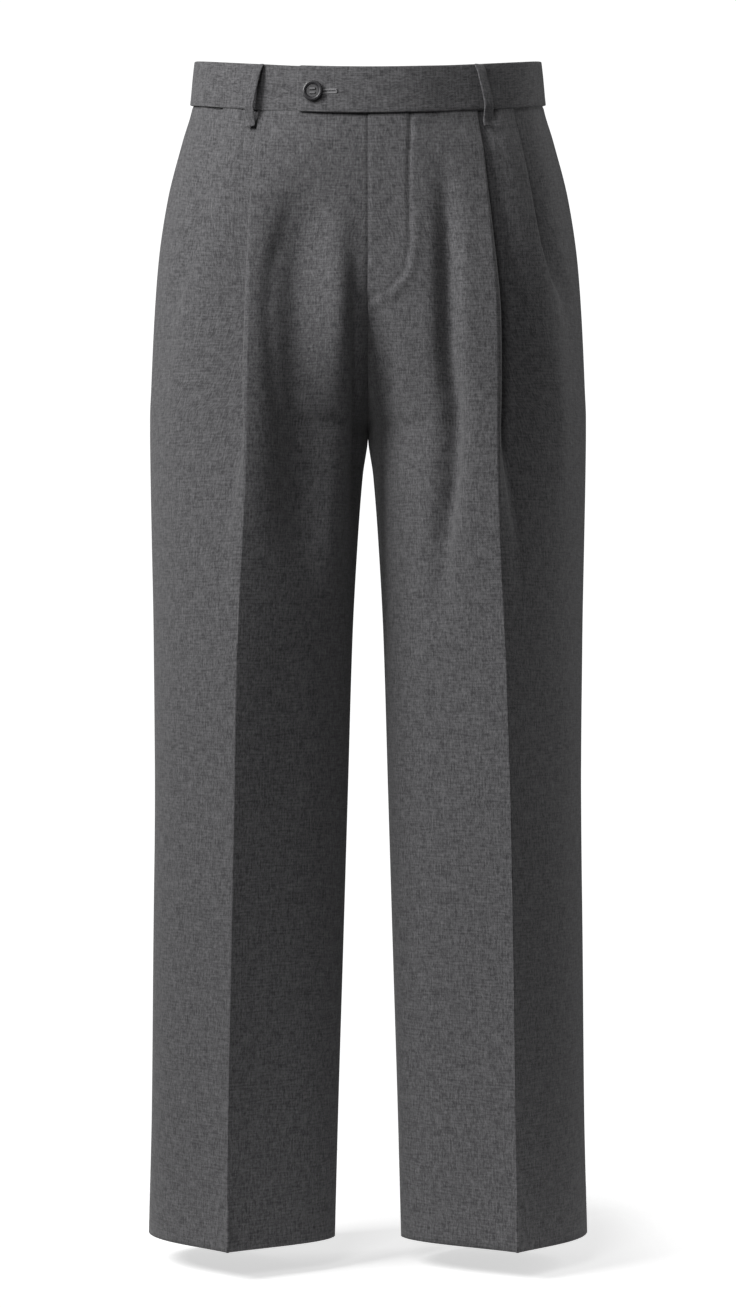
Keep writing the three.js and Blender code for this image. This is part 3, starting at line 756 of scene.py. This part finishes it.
@dataclass
class Panel:
    """One front or back of a leg, from the waist seam to the hem, as a shell on its middle surface.

    Attributes:
        side: The leg.
        half: Front or back.
        levels: How many rows it has.
        crease_column: Which column the crease is, once the front is built.
        side_dip: How deep the cloth dips into a seam, and within what distance.
        waist_dip: The same at the waist seam.
        margin: Cloth left free beside a pleat's hidden layer.
    """

    side: Side
    half: Half
    levels: int = 240
    crease_column: int = 0
    side_dip: tuple[float, float] = (0.7, 1.8)
    waist_dip: tuple[float, float] = (0.9, 1.6)
    margin: float = 4.0

    @property
    def name(self) -> str:
        """The piece's name."""
        return f"{self.half.value}_{self.side.name.lower()}_cloth"

    def build(self) -> Object:
        """Builds the panel's shell, mirrored for the wearer's right.

        Returns:
            The piece.
        """
        top = CLOTH.band_foot - CLOTH.seam
        t = np.linspace(0, 1, self.levels)
        even = 0.45  # the rest of the rows' spacing grows towards the hem
        level = top + (CLOTH.hem - top) * (even * t + (1 - even) * t**2)
        grid = self.front(level[:, None]) if self.half is Half.FRONT else self.back(level[:, None])
        wall = np.full(self.levels, CLOTH.wall / 2)
        turned = smooth((CLOTH.hem + CLOTH.hem_depth + 2 - level) / 4)
        vertices, faces = shell(grid, wall, wall + (CLOTH.hem_wall - CLOTH.wall) * turned)
        across = np.linalg.norm(np.diff(grid[..., :2], axis=1), axis=-1)
        u = np.concatenate([np.zeros((self.levels, 1)), np.cumsum(across, 1)], 1)
        if self.half is Half.FRONT:
            u -= u[:, self.crease_column][:, None]
        else:
            u -= u[:, u.shape[1] // 2][:, None]
        v = np.broadcast_to(level[:, None], u.shape)
        uv = np.tile(np.stack([u, v], -1).reshape(-1, 2), (2, 1)) * MM
        if self.side is Side.RIGHT:
            vertices, faces = vertices * (-1, 1, 1), faces[:, ::-1]
        return make_object(self.name, vertices, faces, uv)

    def place(self, found: tuple[Array, ...], level: Array, lift: Array,
              edge: Array) -> Array:
        """Moves points of the body line out to the cloth's middle surface.

        Args:
            found: x, y and the normal, from an arc.
            level: Levels.
            lift: How far the cloth's face stands off the body line.
            edge: Distance from the nearest seam; the cloth dips into a seam.

        Returns:
            Points, rows by columns by 3.
        """
        x, y, nx, ny = found
        z = height(y, level)
        top = CLOTH.band_foot - level
        (side_depth, side_reach), (waist_depth, waist_reach) = self.side_dip, self.waist_dip
        dip = (-side_depth * np.exp(-((edge / side_reach) ** 2))
               - waist_depth * np.exp(-((top / waist_reach) ** 2)))
        moved = dip + soft_folds(x, z, self.side, self.half)
        # Near the centre seam points move straight back only, so that the two sides stay together.
        meet = smooth((level - CLOTH.crotch + 25) / 25) * (1 - smooth((abs(x) - 2) / 10))
        d = lift - CLOTH.cad_wall / 2
        across, back = d + moved * (1 - meet), d + moved
        return np.stack(np.broadcast_arrays(x + nx * across, y + ny * back, z), -1)

    def fold(self, level: Array, before: Arc, after: Arc, at: Array,
             pleat: dict[str, Array]) -> Array:
        """The pleat itself. Folded flat it is a half turn at the fold's edge, a layer going back
        under it, a half turn the other way and the next layer; open it is one soft wave.

        Args:
            level: Levels.
            before: The arc before the crease.
            after: The arc from the crease to the side seam.
            at: Where the fold's edge is, in millimetres along the second arc.
            pleat: The pleat's columns.

        Returns:
            Points, rows by columns by 3.
        """
        steps = 32
        w = np.linspace(0, 1, steps + 1)[None, 1:]
        depth = pleat["rise"] + pleat["drop"]
        turn = depth / 4
        q = np.clip(np.array([w * 4 - k for k in range(4)]), 0, 1)
        first, second = np.pi * q[0], np.pi * q[2]
        shut = (turn * np.sin(first) - pleat["tuck"] * q[1] - turn * np.sin(second)
                + pleat["tuck"] * q[3])
        shut_depth = turn * (1 - np.cos(first)) + turn * (1 - np.cos(second))
        a = shut * (1 - pleat["open"]) + w * pleat["reach"] * pleat["open"]
        down = shut_depth * (1 - pleat["open"]) + depth * smooth(w) * pleat["open"]
        place = at + a
        on_after = after.at(np.maximum(place, 0) / after.chord)
        on_before = before.at(1 + np.minimum(place, 0) / before.chord)
        found = tuple(np.where(place < 0, b, c) for b, c in zip(on_before, on_after))
        return self.place(found, level, pleat["rise"] - down, np.full(a.shape, NO_SEAM))

    def front(self, level: Array) -> Array:
        """The middle surface of a front: centre arc, main pleat, second pleat, side.

        Args:
            level: Levels, as a column.

        Returns:
            Points, rows by columns by 3.
        """
        inner, outer, _, _ = section(level, self.side)
        main, second = MAIN_PLEAT(level), SECOND_PLEAT(level)
        u = 0.5 - 0.5 * np.cos(np.pi * np.linspace(0, 1, 88)[None, :])
        flat = inner.chord - main["tuck"] - self.margin
        found = inner.at(u)
        fly = np.zeros(u.shape)
        if self.side is Side.LEFT:
            lap = smooth((level - CLOTH.fly_bottom + 6) / 8)
            fly = CLOTH.fly_lift * (1 - smooth((found[0] - CLOTH.fly_width) / 24)) * lap
        centre_edge = u * inner.chord
        lift = main["rise"] * smooth(centre_edge / flat) + fly
        blocks = [self.place(found, level, lift, centre_edge)]
        self.crease_column = blocks[0].shape[1] - 1
        blocks.append(self.fold(level, inner, outer, np.zeros_like(level), main))
        second_at = second["at"] * outer.chord
        start = main["reach"] * main["open"]
        w = np.linspace(0, 1, 18)[None, 1:]
        a = start + (second_at - start) * w
        rest = np.maximum(second_at - second["tuck"] - self.margin, 5)
        lift = -main["drop"] + (main["drop"] + second["rise"]) * smooth(a / rest)
        blocks.append(self.place(outer.at(a / outer.chord), level, lift, np.full(a.shape, NO_SEAM)))
        blocks.append(self.fold(level, outer, outer, second_at, second))
        start = second_at + second["reach"] * second["open"]
        w = 1 - (1 - np.linspace(0, 1, 25)[None, 1:]) ** 1.6
        a = start + (outer.chord - start) * w
        lift = -second["drop"] * (1 - smooth((a - start) / 30))
        blocks.append(self.place(outer.at(a / outer.chord), level, lift, outer.chord - a))
        return np.concatenate(blocks, 1)

    def back(self, level: Array) -> Array:
        """The middle surface of a back: side seam to back crease to centre back or inseam.

        Args:
            level: Levels, as a column.

        Returns:
            Points, rows by columns by 3.
        """
        _, _, outer, inner = section(level, self.side)
        u = 0.5 - 0.5 * np.cos(np.pi * np.linspace(0, 1, 46)[None, :])
        zero = np.zeros_like(level)
        side = self.place(outer.at(u), level, zero, u * outer.chord)
        centre = self.place(inner.at(u[:, 1:]), level, zero, (1 - u[:, 1:]) * inner.chord)
        return np.concatenate([side, centre], 1)


@dataclass
class Band:
    """One half of the waistband: a rounded flat bar along the waist.

    Attributes:
        name: Its name.
        start: Where it starts round the waist.
        end: Where it ends.
        lap: 1 if it lies outermost at the front, -1 if it lies beneath.
        wall: Its thickness.
        face: How far its outer face stands off the waist line.
        step: How far it parts from that where the two bands lap.
        corner: Radius of a free end's corners.
        quarter: Length of one arc of the waist, about, which turns places into millimetres.
        puff: How far its middle swells.
        flat: Points along each face.
    """

    name: str
    start: float
    end: float
    lap: float
    wall: float = 3.0
    face: float = 2.4
    step: float = 1.8
    corner: float = 3.2
    quarter: float = 90.0
    puff: float = 0.35
    flat: int = 14

    def build(self) -> Object:
        """Sweeps a rounded profile round the waist, its corners eased at a free end.

        Returns:
            The piece.
        """
        stations = np.linspace(self.start, self.end, 260)[:, None]
        flat = np.linspace(0, 1, self.flat)
        turn = np.linspace(-np.pi / 2, np.pi / 2, 7)
        r = self.wall / 2 - 0.05
        low, high = CLOTH.band_foot + r * 0.7, CLOTH.band_top - r * 0.7
        middle = self.face - self.wall / 2
        round_off, round_up = r * np.cos(turn + np.pi / 2)[1:-1], 0.7 * r * np.cos(turn)[1:-1]
        off = np.concatenate([np.full(self.flat, middle + r), middle + round_off,
                              np.full(self.flat, middle - r), middle - round_off])
        level = np.concatenate([low + (high - low) * flat, high + round_up,
                                high - (high - low) * flat, low - round_up])
        free = self.start if self.lap > 0 else self.end
        gone = abs(stations - free) * self.quarter
        corner = self.corner - np.sqrt(
            np.maximum(self.corner**2 - np.maximum(self.corner - gone, 0) ** 2, 0))
        centre = (CLOTH.band_foot + CLOTH.band_top) / 2
        half = (CLOTH.band_top - CLOTH.band_foot) / 2
        level = centre + (level[None, :] - centre) * (1 - corner / half)
        x = off_body(stations, np.full_like(stations, centre), 0.0, 0.0)[..., 0]
        lap = np.where(abs(stations) > 2, 0, 1 - smooth((abs(x + 11) - 49) / 35))
        puff = self.puff * np.cos(np.pi * (level - centre) / (2 * half)) * (off > middle)
        rings = off_body(stations, level, off[None, :] + puff + self.lap * self.step * lap, 0.0)
        vertices, faces = tube(rings)
        girth = np.cumsum(np.r_[0, np.linalg.norm(np.diff(rings[:, 0], axis=0), axis=-1)])
        uv = np.stack(np.broadcast_arrays(level, girth[:, None]), -1).reshape(-1, 2)
        uv = np.concatenate([uv, uv[:1], uv[-1:]]) * MM
        return make_object(self.name, vertices, faces, uv)


@dataclass
class FlyStrip:
    """A strip behind the fly, as a thin shell.

    Attributes:
        name: Its name.
        left: Its x on the wearer's right of the opening.
        right: Its x on the wearer's left of it, at the top.
        bottom: Its lowest level.
        off: Where its middle surface lies off the body line.
        rounded: Whether its outer edge curves in to the bottom.
        curve: Level where that curve starts, and its height.
        narrow: Least width of a rounded strip.
        wall: Its thickness.
    """

    name: str
    left: float
    right: float
    bottom: float
    off: float
    rounded: bool
    curve: tuple[float, float] = (-130.0, 32.0)
    narrow: float = 4.0
    wall: float = 1.0

    def build(self) -> Object:
        """Lays the strip on the body line, whose x it follows by halving.

        Returns:
            The piece.
        """
        level = np.linspace(CLOTH.band_foot - 0.6, self.bottom, 60)[:, None]
        start, tall = self.curve
        curve = np.sqrt(np.maximum(1 - (np.maximum(start - level, 0) / tall) ** 2, 0.03))
        right = np.maximum(self.right * curve, self.narrow) if self.rounded else self.right + 0 * level
        x = self.left + (right - self.left) * np.linspace(0, 1, 20)[None, :]
        lo, hi = np.zeros_like(x), np.ones_like(x)
        levels = np.broadcast_to(level, x.shape)
        for _ in range(20):
            mid = (lo + hi) / 2
            short = off_body(mid, levels, 0.0, 0.0)[..., 0] < abs(x)
            lo, hi = np.where(short, mid, lo), np.where(short, hi, mid)
        grid = off_body(np.where(x < 0, -lo, lo), levels, self.off, 0.0)
        wall = np.full(len(level), self.wall / 2)
        vertices, faces = shell(grid, wall, wall)
        uv = np.tile(np.stack([x, levels], -1).reshape(-1, 2), (2, 1)) * MM
        return make_object(self.name, vertices, faces, uv)


@dataclass
class BeltLoop:
    """A belt loop: a flat strip sewn down at both ends and standing off the band between them.

    Attributes:
        node: The CAD node it stands for.
        top: Where its top end is round the waist.
        foot: Where its lower end is.
        foot_off: How far its lower end stands off the body line.
        width: Its width.
        wall: Its thickness.
        stand: How far its middle stands off the body line.
        sewn: How far its top end does.
        span: Levels of its ends.
    """

    node: str
    top: float
    foot: float
    foot_off: float
    width: float = 9.0
    wall: float = 1.8
    stand: float = 10.9
    sewn: float = 3.6
    span: tuple[float, float] = (-27.0, 25.0)

    def build(self) -> Object:
        """Sweeps a rounded flat ring up the strip's line, read as a smooth curve of its length.

        Returns:
            The piece.
        """
        low, high = self.span
        line = np.array([(self.foot_off, low), (self.foot_off + 0.8, -23.5),
                         (0.4 * self.foot_off + 0.6 * self.stand, -17), (self.stand, -9),
                         (self.stand - 0.8, 1), (self.stand - 2.6, 11),
                         (0.6 * self.sewn + 0.4 * self.stand, 19.5), (self.sewn, high)], float)
        length = np.r_[0, np.cumsum(np.linalg.norm(np.diff(line, axis=0), axis=1))]
        t = np.linspace(0, length[-1], 64)
        path = ColumnTable(["off", "level"], [(a, *p) for a, p in zip(length[::-1], line[::-1])])(t)
        off, level = path["off"][:, None], path["level"][:, None]
        along = np.stack([np.gradient(off[:, 0]), np.gradient(level[:, 0])], 1)
        along /= np.linalg.norm(along, axis=1, keepdims=True)
        turn = np.linspace(0, 2 * np.pi, 28, endpoint=False)[None, :]
        edge = np.sign(np.cos(turn)) * abs(np.cos(turn)) ** 0.35 * self.width / 2
        face = np.sign(np.sin(turn)) * abs(np.sin(turn)) ** 0.6 * self.wall / 2
        s = self.foot + (self.top - self.foot) * (level - low) / (high - low)
        rings = off_body(s + 0 * turn, level - face * along[:, :1], off + face * along[:, 1:], edge)
        vertices, faces = tube(rings[::-1])
        uv = np.stack(np.broadcast_arrays(edge, t[::-1, None]), -1).reshape(-1, 2)
        return make_object(f"{self.node}_strip", vertices, faces, np.concatenate([uv, uv[:2]]) * MM)


@dataclass
class Buttonhole:
    """The worked edge of the buttonhole: a close-stitched cord around the slot in the tab.

    Attributes:
        at: Where the slot's middle is round the waist.
        level: Its level.
        half_length: Half the slot's length.
        half_height: Half its height.
        cord: The cord's radius.
        face: How far the cord's middle stands off the body line.
        stitches: Ribs round the slot.
    """

    at: float
    level: float
    half_length: float = 10.5
    half_height: float = 1.3
    cord: float = 0.8
    face: float = 4.45
    stitches: int = 80

    def build(self) -> Object:
        """Runs a ribbed cord round the slot's outline, two straight sides and two half turns.

        Returns:
            The piece.
        """
        t = np.linspace(0, 2 * np.pi, 321)[:-1, None]
        straight = self.half_length - self.half_height
        x = np.sign(np.cos(t)) * straight * np.minimum(1, abs(np.cos(t)) * 1.6)
        x = x + self.half_height * np.cos(t)
        z = self.half_height * np.clip(np.sin(t) * 1.5, -1, 1)
        ring = np.linspace(0, 2 * np.pi, 10, endpoint=False)[None, :]
        rib = self.cord * (1 + 0.12 * np.cos(t * self.stitches))
        dx, dz = (np.roll(v, -1, 0) - np.roll(v, 1, 0) for v in (x, z))
        out = rib * np.cos(ring) / np.hypot(dx, dz)
        points = off_body(np.full(x.shape, self.at) + 0 * ring, self.level + z - dx * out,
                          self.face + 0.6 * rib * np.sin(ring), x + dz * out)
        n, m = points.shape[:2]
        r, k = np.meshgrid(np.arange(n), np.arange(m), indexing="ij")
        a, b = r * m + k, r * m + (k + 1) % m
        c, d = ((r + 1) % n) * m + (k + 1) % m, ((r + 1) % n) * m + k
        faces = np.stack([a, b, c, d], -1).reshape(-1, 4)
        return make_object("buttonhole_working", points.reshape(-1, 3), faces, None)


@dataclass
class Studio:
    """A plain pale floor, soft lights and the level camera in front.

    Attributes:
        distance: From the camera to the origin's upright plane, in metres.
        eye: The camera's height below the waist, in metres.
        floor: The floor's height.
        lens: Focal length.
        fade: Distances from the middle between which the floor fades out.
        squeeze: How much narrower than deep the faded floor is.
        ambient: The world's light, where the camera doesn't see it.
    """

    distance: float = 2.7
    eye: float = -0.498
    floor: float = -1.034
    lens: float = 83.97
    fade: tuple[float, float] = (0.45, 0.75)
    squeeze: float = 2.2
    ambient: float = 0.08

    def build(self) -> None:
        """Makes the floor, the world, the lights and the camera."""
        bpy.ops.mesh.primitive_circle_add(
            vertices=96, radius=3, fill_type="NGON", location=(0, 0, self.floor))
        plane = bpy.context.object
        plane.name = "floor"
        s = Shader("floor")
        seen = s.node("ShaderNodeLightPath")[0]
        glow = s.node("ShaderNodeMix", {"data_type": "RGBA"}, {
            "Factor": seen, "A": (0, 0, 0, 1), "B": (0.62, 0.62, 0.62, 1)})[0]
        paper = s.node("ShaderNodeBsdfPrincipled", {}, {
            "Base Color": (0.9, 0.9, 0.9, 1), "Roughness": 1.0, "Specular IOR Level": 0.0,
            "Emission Color": glow, "Emission Strength": 1.0})[0]
        place = s.node("ShaderNodeTexCoord")[3]
        oval = s.node("ShaderNodeVectorMath", {"operation": "MULTIPLY"}, {
            0: place, 1: (self.squeeze, 1, 1)})[0]
        away = s.node("ShaderNodeVectorMath", {"operation": "LENGTH"}, {0: oval})[0]
        fade = s.node("ShaderNodeMapRange", {"interpolation_type": "SMOOTHSTEP"}, {
            "Value": away, "From Min": self.fade[0], "From Max": self.fade[1]})[0]
        clear = s.node("ShaderNodeBsdfTransparent")[0]
        plane.data.materials.append(s.finish(s.node("ShaderNodeMixShader", {}, {
            0: fade, 1: paper, 2: clear})[0]))
        world = bpy.data.worlds.new("studio")
        world.use_nodes = True
        bpy.context.scene.world = world
        tree = world.node_tree
        back = tree.nodes["Background"]
        back.inputs["Color"].default_value = (1, 1, 1, 1)
        path = tree.nodes.new("ShaderNodeLightPath")
        level = tree.nodes.new("ShaderNodeMath")
        level.operation = "MULTIPLY_ADD"
        tree.links.new(path.outputs["Is Camera Ray"], level.inputs[0])
        level.inputs[1].default_value = 1.0
        level.inputs[2].default_value = self.ambient
        tree.links.new(level.outputs[0], back.inputs["Strength"])
        self.light("key", (-1.7, -1.15, 0.95), (0, 0, 0.7), 1.0, 1.3, 60)
        self.light("front_fill", (-0.7, -2.6, 1.0), (0, 0, 0.2), 0.9, 0.9, 16)
        self.light("right_rim", (2.0, 0.9, 0.2), (0.1, 0, -0.4), 0.7, 1.8, 16)
        camera = bpy.data.objects.new("camera", bpy.data.cameras.new("camera"))
        camera.data.lens, camera.data.sensor_width = self.lens, 36
        camera.location = (0, -self.distance, self.eye)
        camera.rotation_euler = (math.pi / 2, 0, 0)
        bpy.context.scene.collection.objects.link(camera)
        bpy.context.scene.camera = camera
        bpy.context.scene.view_settings.view_transform = "Standard"

    def light(self, name: str, place: tuple[float, float, float], target: tuple[float, float, float],
              width: float, tall: float, power: float) -> None:
        """Adds one soft area light.

        Args:
            name: Its name.
            place: Where it is.
            target: Where it points.
            width: Its width, in metres.
            tall: Its height.
            power: Its power, in watts.
        """
        data = bpy.data.lights.new(name, "AREA")
        data.shape, data.size, data.size_y, data.energy = "RECTANGLE", width, tall, power
        lamp = bpy.data.objects.new(name, data)
        lamp.location = place
        lamp.rotation_euler = (Vector(target) - Vector(place)).to_track_quat("-Z", "Y").to_euler()
        bpy.context.scene.collection.objects.link(lamp)


@dataclass(frozen=True)
class Cut:
    """The flat cut of what shows of a piece.

    Attributes:
        width: Its widest, in metres.
        length: Its longest, in metres.
        area: Its area, in square metres.
    """

    width: float
    length: float
    area: float


CUTS = {
    "front": Cut(0.363, 1.01, 0.288),
    "back": Cut(0.32, 1.02, 0.267),
    "waistband_left": Cut(0.039, 0.485, 0.0189),
    "waistband_right": Cut(0.039, 0.457, 0.0178),
    "fly_facing": Cut(0.036, 0.138, 0.0048),
    "fly_shield": Cut(0.055, 0.137, 0.0074),
    "belt_loop": Cut(0.01, 0.066, 0.00059),
}


@dataclass
class Trousers:
    """The whole garment: builds each piece, dresses it and logs its faces and area.

    Attributes:
        flannel: The cloth's finish.
        button: The button's finish.
        thread: The button thread's finish.
        stitching: The buttonhole's finish.
        loops: Each belt loop's node, its top's and its foot's place round the waist, and how far
            its foot stands off.
    """

    flannel: Flannel = Flannel()
    button: Plain = Plain("button", (0.028, 0.027, 0.03, 1), 0.42, 0.1)
    thread: Plain = Plain("thread", (0.16, 0.158, 0.164, 1), 0.85)
    stitching: Plain = Plain("stitching", (0.23, 0.228, 0.235, 1), 0.85)
    loops: tuple[tuple[str, float, float, float], ...] = (
        ("belt_loop_front_left", 1.03, 1.07, 3.3), ("belt_loop_front_right", -1.0, -1.05, 3.3),
        ("belt_loop_side_left", 2.42, 2.42, 1.25), ("belt_loop_side_right", -2.42, -2.42, 1.25),
        ("belt_loop_back", LAST_ARC, LAST_ARC, 1.25),
    )

    def build(self) -> None:
        """Builds every piece in the order a maker would sew it."""
        self.cloth = self.flannel.material()
        for side in Side:
            for half in Half:
                self.panel(Panel(side, half))
        self.strip(FlyStrip("fly_facing_strip", 1.5, 37, -161, -0.75, True), "fly_facing")
        self.strip(FlyStrip("fly_shield_strip", -20, 34, -158, -2.75, False), "fly_shield")
        self.band(Band("waistband_left_cloth", -0.625, 4, 1), "waistband_left")
        self.band(Band("waistband_right_cloth", -4, 0.38, -1), "waistband_right")
        for node, top, foot, off in self.loops:
            piece = BeltLoop(node, top, foot, off).build()
            self.dress(piece, "flannel", self.cloth, node)
            band = "waistband_right_cloth" if "right" in node else "waistband_left_cloth"
            self.declare(piece, CUTS["belt_loop"], band)
        hole = Buttonhole(-0.375, 4.2).build()
        self.dress(hole, "thread", self.stitching.material())
        for node, finish in (("button", self.button), ("button_thread", self.thread)):
            shown = bpy.data.objects[node]
            shown.data.materials.clear()
            shown.data.materials.append(finish.material())

    def dress(self, piece: Object, slot: str, finish: Material, *nodes: str) -> None:
        """Gives a piece its finish and its body, and hides the CAD nodes it stands for.

        Args:
            piece: The piece.
            slot: Not used.
            finish: Its material.
            nodes: The CAD nodes it replaces, if any.
        """
        piece.data.materials.append(finish)
        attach(piece, BODY)
        if nodes:
            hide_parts(*nodes)
        log.info("%s: %d faces", piece.name, len(piece.data.polygons))

    def declare(self, piece: Object, cut: Cut, rests_on: str) -> None:
        """Logs the area of a piece's flat cut beside the built cloth's area.

        Args:
            piece: The piece.
            cut: Its flat cut.
            rests_on: Not used.
        """
        log.info("%s: cut %.4f m2, built %.4f m2", piece.name, cut.area, surface_area(piece))

    def panel(self, panel: Panel) -> None:
        """Builds one front or back and logs its cut's area.

        Args:
            panel: Its shape.
        """
        piece = panel.build()
        node = f"{panel.half.value}_{panel.side.name.lower()}"
        self.dress(piece, "flannel", self.cloth, node)
        self.declare(piece, CUTS[panel.half.value], f"waistband_{panel.side.name.lower()}_cloth")

    def strip(self, strip: FlyStrip, node: str) -> None:
        """Builds one strip of the fly and logs its cut's area.

        Args:
            strip: Its shape.
            node: The CAD node it stands for.
        """
        piece = strip.build()
        self.dress(piece, "flannel", self.cloth, node)
        self.declare(piece, CUTS[node], "front_right_cloth" if node == "fly_shield" else "front_left_cloth")

    def band(self, band: Band, node: str) -> None:
        """Builds half of the waistband and logs its cut's area.

        Args:
            band: Its shape.
            node: The CAD node it stands for.
        """
        piece = band.build()
        self.dress(piece, "flannel", self.cloth, node)
        front = "front_right_cloth" if node == "waistband_right" else "front_left_cloth"
        self.declare(piece, CUTS[node], front)


def main() -> None:
    """Builds the trousers and the studio."""
    logging.basicConfig(level=logging.INFO, format="%(message)s")
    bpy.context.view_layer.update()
    Trousers().build()
    Studio().build()
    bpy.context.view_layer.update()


if __name__ == "__main__":
    main()
